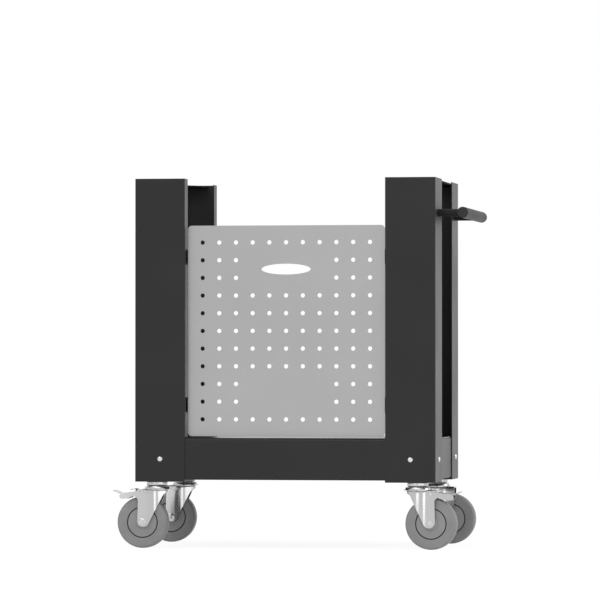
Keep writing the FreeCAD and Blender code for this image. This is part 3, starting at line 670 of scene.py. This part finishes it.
def forkEdges(braked, depth):
    # Lower edge of one side as x and height: from the nose round the flare, down a slant that touches the flare's
    # and the leg end's circles, round the leg's end and on to the roof, or round the notch and the arm. Each point
    # comes with the u and the height that it hangs from, and whether that is on the roof's edge
    f, steps = fork, fork["steps"]
    legX, legZ, legSize = f["legEnd"]
    flareX, flareZ, flareSize = -f["nose"], f["noseLow"] - f["flare"], f["flare"]
    overFlare, overSlant, beforeTail, overNotch = f["hangs"]
    roof = f["top"] - depth - (f["innerBend"] if depth else f["shoulder"])
    tail = legX + legSize
    runX, runZ = legX - flareX, legZ - flareZ
    slope = math.atan2(runZ, runX) - math.asin((flareSize + legSize) / math.hypot(runX, runZ))
    swing = np.linspace(math.pi / 2, math.pi / 2 + slope, steps["flare"])
    flareEnd = np.array((flareX - math.sin(slope) * flareSize, flareZ + math.cos(slope) * flareSize))
    foot = np.array((legX + math.sin(slope) * legSize, legZ - math.cos(slope) * legSize))
    pieces = [
        (flareX + flareSize * np.cos(swing), flareZ + flareSize * np.sin(swing), overFlare),
        straight(flareEnd, foot, steps["slant"]) + (overSlant,),
        arc((legX, legZ), legSize, slope - math.pi / 2, 0.0, steps["leg"]) + (tail - beforeTail,),
    ]
    if braked:
        notchX, notchZ, notchSize, past = f["notch"]
        tipX, tipZ, tipSize = f["tip"]
        pieces.append(straight((tail, legZ), (notchX - notchSize, notchZ), steps["rise"]) + (tail,))
        pieces.append(arc((notchX, notchZ), notchSize, math.pi, math.radians(90 - past), steps["notch"]) + (overNotch,))
        notchEnd = (pieces[-1][0][-1], pieces[-1][1][-1])
        pieces.append(straight(notchEnd, (tipX, tipZ - tipSize), steps["neck"]) + (tipX,))
        pieces.append(arc((tipX, tipZ), tipSize, -math.pi / 2, math.pi / 2, steps["tip"]) + (tipX,))
    else:
        pieces.append(straight((tail, legZ), (tail, roof), steps["back"]) + (tail,))
    lowX, lowZ = (np.concatenate([piece[k] for piece in pieces]) for k in (0, 1))
    ends = [0.0] + [float(alongFork(np.array(piece[2]))) for piece in pieces]
    high = [np.linspace(0, ends[1], len(pieces[0][0]))]
    for piece, start, end in zip(pieces[1:], ends[1:], ends[2:]):
        high.append(np.linspace(start, end, len(piece[0]) + 1)[1:])
    high = np.concatenate(high)
    beyond = f["sideStep"] * (high - float(alongFork(np.array(tail))))
    roofed = beyond <= f["tolerance"]
    if not braked:
        return alongFork(lowX, depth), lowZ, high, np.full(len(high), roof), roofed
    fall = (f["armRoot"] - tipZ - tipSize) / (tipX - tail)
    return alongFork(lowX, depth), lowZ, high, np.where(roofed, roof, f["armRoot"] - fall * beyond), roofed


def forkShell(braked):
    # Outer and inner faces of the drawn sheet, each a wall (its rows run evenly from the upper edge to the lower), a
    # rounded shoulder (in by bend * (1 - cos a), up by bend * sin a) and a roof that runs evenly in to the bore, and
    # the rims between the two faces
    f = fork
    down = np.linspace(0, 1, f["wallRows"])[:, None]
    swing = np.linspace(0, math.pi / 2, f["bendRows"])
    parts, rims = [], []
    for depth in (0.0, f["sheet"]):
        bend = f["innerBend"] if depth else f["shoulder"]
        lowU, lowZ, highU, highZ, roofed = forkEdges(braked, depth)
        arms = np.concatenate([~roofed[1:], [True]]) if braked else np.zeros(len(roofed), bool)
        z = highZ + (lowZ - highZ) * down
        place = forkPlan(highU + (lowU - highU) * down, depth)[0]
        bendPlace, inward = forkPlan(highU[roofed], depth)
        bendPlace = bendPlace[None] + inward[None] * (bend * (1 - np.cos(swing)))[:, None, None]
        bendZ = np.broadcast_to((f["top"] - depth - bend * (1 - np.sin(swing)))[:, None], bendPlace.shape[:2])
        loop = []
        for side in (-1, 1):
            flip = np.array((1, side))
            wall = np.concatenate([place * flip, z[..., None]], -1)
            shoulder = np.concatenate([bendPlace * flip, bendZ[..., None]], -1)
            for grid in (wall, shoulder):
                parts.append((grid.reshape(-1, 3), gridFaces(*grid.shape[:2])))
            rims += [wall[-1], wall[0][arms], shoulder[:, -1]]
            loop.append(shoulder[-1])
        across = np.linspace(loop[1][-1], loop[0][-1], f["backColumns"])[1:-1]
        loop = np.concatenate([loop[1], across, loop[0][:0:-1]])
        flat = np.hypot(loop[:, 0], loop[:, 1])[:, None]
        inner = np.concatenate([loop[:, :2] / flat * f["bore"], loop[:, 2:]], -1)
        roof = loop + (inner - loop) * np.linspace(0, 1, f["roofRows"])[:, None, None]
        parts.append((roof.reshape(-1, 3), gridFaces(len(roof), len(loop), False, True)))
        first = int(roofed.sum()) - 1
        rims += [loop[first:first + f["backColumns"]], np.concatenate([inner, inner[:1]])]
    each = len(rims) // 2
    for outer, inner in zip(rims[:each], rims[each:]):
        if len(outer) > 1:
            parts.append((np.concatenate([outer, inner]), gridFaces(2, len(outer))))
    return joined(*parts)


swivelCap = {
    "top": 132.0, "height": 9.0, "diameter": 42.0, "sheet": 4.5, "bore": 6.1,
    "rounding": (0.2, 0.6, 3.4, 0.2, 1.0, 0.2),  # of the six corners, from the bore's top out, down and back
}
swivelDish = {
    "diameter": 57.0, "top": 122.4, "bore": 6.1, "edge": 0.9, "edgeRounding": (0.2, 0.3),  # below and above
    "neckDiameter": 48.0, "neckTop": 116.7,
    "domeFoot": 50.0, "domeLean": (6.0, 28.0), "domeSteps": 10,
}


def capOutline():
    # Half section of an upturned cup with a bore in its top
    s = swivelCap
    outer, top = s["diameter"] / 2, s["top"]
    inner, under, low = outer - s["sheet"], top - s["sheet"], top - s["height"]
    return roundCorners(
        [(s["bore"], top), (outer, top), (outer, low), (inner, low), (inner, under), (s["bore"], under)], s["rounding"],
    )


def dishOutline():
    # Half section of a neck, a thin rim, and a dome that is an arc of a circle from its foot, just inside the rim, up
    # to the crown: its normal rises from the first lean to the second, so radius = foot - size * (cos of first - cos)
    # and height = size * (sin - sin of first)
    d = swivelDish
    outer, neck, bore = d["diameter"] / 2, d["neckDiameter"] / 2, d["bore"]
    low, high = d["neckTop"], d["neckTop"] + d["edge"]
    lowRounding, highRounding = d["edgeRounding"]
    first, last = (math.radians(v) for v in d["domeLean"])
    lean = np.linspace(first, last, d["domeSteps"])
    size = (d["top"] - high) / (math.sin(last) - math.sin(first))
    radius = d["domeFoot"] / 2 - size * (math.cos(first) - np.cos(lean))
    return np.concatenate([
        [(bore, fork["top"]), (neck, fork["top"]), (neck, low), (outer - lowRounding, low), (outer, low + lowRounding)],
        [(outer, high - highRounding), (outer - highRounding, high)],
        np.stack([radius, high + size * (np.sin(lean) - math.sin(first))], 1),
        [(bore, d["top"])],
    ])


wheel = {
    "radius": 51.0, "trail": 27.5, "halfWidth": 12.5, "shoulder": 5.0, "foot": 0.4,  # last two: tyre's roundings
    "hubRadius": 31.0, "hubHalf": 12.0, "bossRadius": 12.0, "bossHalf": 15.5, "bore": 6.06,
    "groove": 2.0, "grooveDepth": 2.5, "grooveGap": 0.02,
    "hubRounding": [0.4, 0.8, 0.8, 0.5, 0.4, 0.1],  # from the bore outwards, down into the groove
    "grooveShadeMargin": 0.05,
}
axlePlace = (wheel["trail"], 0, wheel["radius"])


def tyreOutline():
    # Half section: a band with square feet on the hub and rounded shoulders
    w = wheel
    outer, foot, half = w["radius"], w["hubRadius"], w["halfWidth"]
    radii = [w["foot"], w["shoulder"], w["shoulder"], w["foot"]]
    return roundCorners([(foot, -half), (outer, -half), (outer, half), (foot, half)], radii, steps=10)


def hubOutline():
    # Half section: a long boss, a disc, and a groove at its rim, the same on both sides
    w = wheel
    disc, floor = w["hubRadius"] - w["groove"], w["hubHalf"] - w["grooveDepth"]
    side = [
        (w["bore"], w["bossHalf"]), (w["bossRadius"], w["bossHalf"]), (w["bossRadius"], w["hubHalf"]),
        (disc, w["hubHalf"]), (disc, floor), (w["hubRadius"] - w["grooveGap"], floor),
    ]
    return roundCorners(side + [(r, -h) for r, h in reversed(side)], w["hubRounding"] + w["hubRounding"][::-1])


def paintGrooveShade(hub, corner):
    # The groove's faces, told by their distance from the axle, take a near-black finish: painted shade in the groove,
    # which the grey hub does not have
    hub.data.materials.append(finishes["paintedGrooveShade"])
    middle = nodeCentre("wheel_hub_" + corner) * mm
    margin = wheel["grooveShadeMargin"]
    low, high = (r * mm for r in (wheel["hubRadius"] - wheel["groove"] - margin, wheel["hubRadius"] - margin))
    for face in hub.data.polygons:
        if low < math.hypot(face.center[0] - middle[0], face.center[2] - middle[2]) < high:
            face.material_index = 1


domePower = 0.9  # under one makes a rivet's dome fuller than an ellipse
axle = {"radius": 4.0, "head": 8.5, "headHeight": 2.6, "headRim": 0.7, "tail": 5.0, "tailHeight": 0.8, "tailRim": 0.4}
pin = {"place": (27.5, 109.0), "radius": 2.5, "head": 3.25, "headHeight": 1.0, "headRim": 0.4}


def rivetHead(radius, height, rim, count=48):
    # Low dome on a short upright rim: radius * cos to the dome's power, and height = rim + rise * sin
    swing = np.linspace(0, math.pi / 2, 9)[:-1]
    dome = np.stack([radius * np.cos(swing) ** domePower, rim + (height - rim) * np.sin(swing)], 1)
    return turnCap(np.concatenate([[(radius, 0.0)], dome]), count)


def crossRivet(x, z, nearHead, farHead, radius, count):
    # A shank from side to side of the fork, with a head on each outer face
    half = fork["gap"] / 2 + fork["sheet"]
    shank = turnCap([(radius, 0.0), (radius, 2 * half)], count)
    return joined(
        moved(nearHead, towardsRear, (x, half, z)), moved(farHead, towardsFront, (x, -half, z)),
        moved(shank, towardsRear, (x, -half, z)),
    )


def axleRivet():
    head = rivetHead(axle["head"], axle["headHeight"], axle["headRim"])
    tail = rivetHead(axle["tail"], axle["tailHeight"], axle["tailRim"])
    return crossRivet(wheel["trail"], wheel["radius"], head, tail, axle["radius"], count=48)


def pivotPin():
    head = rivetHead(pin["head"], pin["headHeight"], pin["headRim"], count=32)
    return crossRivet(*pin["place"], head, head, pin["radius"], count=24)


brake = {
    "sheet": 2.0, "half": 15.2, "edge": 0.4,
    "line": ((23.0, 111.2), (36.0, 111.2), (71.0, 108.0), (87.0, 114.5)), "bend": 3.0,  # of the pedal's top face
    "release": ((39.5, 111.2), (39.5, 119.0), (52.0, 117.0)), "releaseBend": 1.0,
    "cheekHeight": 7.0, "cheekEnd": 44.0, "cheekRounding": (0.5, 3.0, 2.0, 0.5),
    "shoeAt": 57.0, "shoeLow": 97.6, "shoeHalf": 12.5, "shoeRounding": (0.5, 0.5, 0.3, 0.3),
    "rootRounding": 0.3, "tipRounding": 0.8,
}


def sheetOutline(line, sheet, bend):
    # Outline of a bent sheet in side view: one face runs along the line, the other lies one sheet to its left, or to
    # its right where the sheet is given as a negative length; outer bends are one sheet wider than inner ones
    line = np.array(line, float)
    run = np.diff(line, axis=0)
    run /= np.linalg.norm(run, axis=1)[:, None]
    left = np.stack([-run[:, 1], run[:, 0]], 1)
    mitre = (left[:-1] + left[1:]) / (1 + (left[:-1] * left[1:]).sum(1))[:, None]
    other = line + np.concatenate([left[:1], mitre, left[-1:]]) * sheet
    turnsLeft = run[:-1, 0] * run[1:, 1] - run[:-1, 1] * run[1:, 0] > 0
    lineIsOuter = turnsLeft == (sheet > 0)
    radii = np.where(lineIsOuter, bend + abs(sheet), bend)
    otherRadii = np.where(lineIsOuter, bend, bend + abs(sheet))
    root, tip = [brake["rootRounding"]], [brake["tipRounding"]]
    radii = np.concatenate([root, radii, tip, tip, otherRadii[::-1], root])
    return roundCorners(np.concatenate([line, other[::-1]]), radii, steps=6)


def acrossFork(outline, half):
    # A side view given its width, from half on one side to half on the other, its rims rounded
    return moved(platePoints(outline, 2 * half, brake["edge"]), towardsFront, (0, half, 0))


def brakePedal():
    # Bent pedal and release tab, two cheeks under its root, and a shoe that hangs from it over the tyre
    b = brake
    sheet, shoeX, low = b["sheet"], b["shoeAt"], b["shoeLow"]
    line = np.array(b["line"]) - (0, sheet / 2)
    pedal = acrossFork(sheetOutline(line, sheet, b["bend"]), b["half"])
    release = acrossFork(sheetOutline(b["release"], -sheet, b["releaseBend"]), b["half"])
    root, top = b["line"][0]
    foot = top - b["cheekHeight"]
    cheek = roundCorners(
        [(root, top), (root, foot), (b["cheekEnd"] - b["cheekHeight"], foot), (b["cheekEnd"], top)], b["cheekRounding"],
    )
    plate = platePoints(cheek, sheet, b["edge"])
    cheeks = [moved(plate, towardsFront, (0, y, 0)) for y in (sheet - b["half"], b["half"])]
    (bendX, bendZ), (flapX, flapZ) = b["line"][1:3]
    high = bendZ + (flapZ - bendZ) * (shoeX - bendX) / (flapX - bendX)
    shoe = roundCorners(
        [(shoeX, low), (shoeX + sheet, low), (shoeX + sheet, high), (shoeX, high)], b["shoeRounding"],
    )
    return joined(pedal, release, *cheeks, acrossFork(shoe, b["shoeHalf"]))


def makeCaster(corner):
    braked = corners[corner][1] < 0
    onFork, onWheel = "fork_" + corner, "wheel_" + corner

    def add(label, part, finish, body, node, sharp=32.0):
        replaced = [node + corner] if node else []
        return addPiece(label + corner, placeAt(part, corner), finish, body, replaced, sharp)

    tyre = moved(turnProfile(tyreOutline(), 96), towardsRear, axlePlace)
    hub = moved(turnProfile(hubOutline(), 72), towardsRear, axlePlace)
    add("swivelCap_", turnProfile(capOutline(), 72), "brightZinc", "frame", "swivel_cap_")
    add("forkShell_", forkShell(braked), "brightZinc", onFork, "fork_")
    add("swivelDish_", turnProfile(dishOutline(), 72), "brightZinc", onFork, None)
    add("tyreRing_", tyre, "tyreGrey", onWheel, "tyre_", 40.0)
    paintGrooveShade(add("hubDisc_", hub, "hubGrey", onWheel, "wheel_hub_"), corner)
    add("axleRivet_", axleRivet(), "axleSteel", onFork, "axle_")
    if braked:
        add("pivotPin_", pivotPin(), "axleSteel", onFork, "brake_pin_")
        add("brakePedal_", brakePedal(), "brightZinc", "brake_" + corner, "brake_lever_")


for cornerName in corners:
    makeCaster(cornerName)
print("casters made")

# Screws, nuts and bolts

screw = {
    "head": 5.5, "height": 3.2, "rim": 0.5, "socket": 4.0, "socketDepth": 1.9, "shank": 3.0, "length": 10.5,
    "mouth": (1.12, 0.98, 0.2), "mouthDrop": 0.15, "floorDrop": 0.4,  # shares of the socket: lip, walls and middle
    "chamfer": 0.4, "inset": 50.0, "level": 177.0,  # places on the posts: from their outer corners, and height
}
nut = {"across": 10.0, "height": 5.0, "crown": 4.6, "bore": 3.0, "behind": 4.0}
king = {
    "boltAcross": 18.0, "boltHead": 6.0, "nutAcross": 19.0, "nutHeight": 10.0, "radius": 6.0, "tail": 2.0,
    "crownInset": 0.6, "chamfer": 0.8, "underRoof": 0.6, "footPlate": 4.0,
}
boreGap = 0.02


def buttonScrew():
    # Domed head with a hexagon socket, as rings down the dome, over the mouth and to the socket's floor: the radius
    # runs evenly from the head to the mouth's lip while the height is rim + rise * sin
    s = screw
    count, top = 48, s["height"]
    angle = ringAngles(count)
    mouth = hexRadius(s["socket"], angle)
    lip, wall, middle = (mouth * share for share in s["mouth"])
    swing = np.linspace(0, 1, 8)[:, None]
    floor = top - s["socketDepth"]
    dome = s["head"] + (lip - s["head"]) * swing
    radii = np.concatenate([np.full((1, count), s["head"]), dome, [wall, wall, middle]])
    heights = np.concatenate([
        [[0.0]], s["rim"] + (top - s["rim"]) * np.sin(swing * math.pi / 2),
        [[top - s["mouthDrop"]], [floor], [floor - s["floorDrop"]]],
    ])
    faces = gridFaces(len(radii), count, False, True) + [ringFace(0, count), ringFace(len(radii) - 1, count)]
    shank, chamfer, end = s["shank"], s["chamfer"], -s["length"]
    stem = turnCap([(shank - chamfer, end), (shank, end + chamfer), (shank, 0.0)], count=24)
    return joined((ringPoints(radii, heights, angle).reshape(-1, 3), faces), stem)


def sidePlaces():
    # The middle of each screw's seat on the posts, and the turn that points its head outwards
    low, far = nodeBox("post_front_left")[0], nodeBox("post_rear_right")[1]
    inset, level = screw["inset"], screw["level"]
    places = []
    for y, turn in ((low[1], towardsFront), (far[1], towardsRear)):
        places += [((x, y, level), turn) for x in (low[0] + inset, far[0] - inset)]
    for x, turn in ((low[0], towardsLeft), (far[0], towardsRight)):
        places += [((x, y, level), turn) for y in (low[1] + inset, far[1] - inset)]
    return places


def addFasteners(name, parts, node):
    addPiece(name, joined(*parts), "fastenerSteel", "frame", [node])


def makeFasteners():
    head = buttonScrew()
    hexNut = hexPoints(nut["across"], nut["height"], nut["crown"], nut["bore"] + boreGap)
    screws, nuts = [], []
    for place, turn in sidePlaces():
        screws.append(moved(head, turn, place))
        outward = np.array((0, 0, 1)) @ np.array(turn)
        inward = [tuple(-v for v in turn[0]), turn[1], tuple(-v for v in turn[2])]
        nuts.append(moved(hexNut, inward, np.array(place) - outward * nut["behind"]))
    addFasteners("frameScrews", screws, "frame_screws")
    addFasteners("frameNuts", nuts, "frame_nuts")
    k = king
    boltCrown, nutCrown = (k[across] / 2 - k["crownInset"] for across in ("boltAcross", "nutAcross"))
    seat = fork["top"] - fork["sheet"] - k["underRoof"]
    plateTop = swivelCap["top"] + k["footPlate"]
    top = plateTop + k["nutHeight"] + k["tail"]
    radius, chamfer = k["radius"], k["chamfer"]
    shank = turnCap([(radius, seat), (radius, top - chamfer), (radius - chamfer, top)], count=32)
    bolt = joined(moved(hexPoints(k["boltAcross"], k["boltHead"], boltCrown), downwards, (0, 0, seat)), shank)
    kingNut = hexPoints(k["nutAcross"], k["nutHeight"], nutCrown, radius + boreGap)
    kingNut = moved(kingNut, None, (0, 0, plateTop))
    addFasteners("kingBolts", [placeAt(bolt, corner) for corner in corners], "king_bolts")
    addFasteners("kingNuts", [placeAt(kingNut, corner) for corner in corners], "king_nuts")


makeFasteners()
print("fasteners made")

# Side handle: caps on the ends of the grip

grip = {"radius": 11.0, "flange": 3.0, "rounding": 1.6, "stub": 9.0, "bore": 9.0, "middle": 2.0}


def makeEndPlugs():
    # A stub in the tube and a flange over its end, whose rim is an arc: radius - rounding * (1 - cos a), and
    # flange - rounding * (1 - sin a)
    g = grip
    low, high = nodeBox("handle_grip")
    centre = (low + high) / 2
    swing = np.linspace(0, math.pi / 2, 7)
    radius = g["radius"] - g["rounding"] * (1 - np.cos(swing))
    rim = np.stack([radius, g["flange"] - g["rounding"] * (1 - np.sin(swing))], 1)
    stub = [(g["bore"], -g["stub"]), (g["bore"], 0.0), (g["radius"], 0.0)]
    plug = turnCap(np.concatenate([stub, rim, [(g["middle"], g["flange"])]]))
    front = moved(plug, towardsFront, (centre[0], low[1], centre[2]))
    rear = moved(plug, towardsRear, (centre[0], high[1], centre[2]))
    addPiece("gripPlugs", joined(front, rear), "plugBlack", "frame", ["handle_end_plugs"])


makeEndPlugs()
print("handle made")

# Finishes of the pieces that stay as the CAD has them

cadFinishes = {
    "powderBlack": ("post_", "beam_", "foot_plate_", "panel_catches"),
    "seatBlack": ("oven_seat_",),
    "shelfBlack": ("bottom_shelf",),
    "gripBlack": ("handle_grip", "handle_arm_"),
    "brushedPanel": ("tool_panel",),
    "magnetNickel": ("panel_magnets",),
    "axleSteel": ("axle_sleeve_", "ball_rings"),
    "fastenerSteel": ("handle_screws",),
}
for finish, starts in cadFinishes.items():
    for name, node in nodes.items():
        if name.startswith(starts) and not node.hide_render:
            node.data.materials.clear()
            node.data.materials.append(finishes[finish])
print("finishes set")
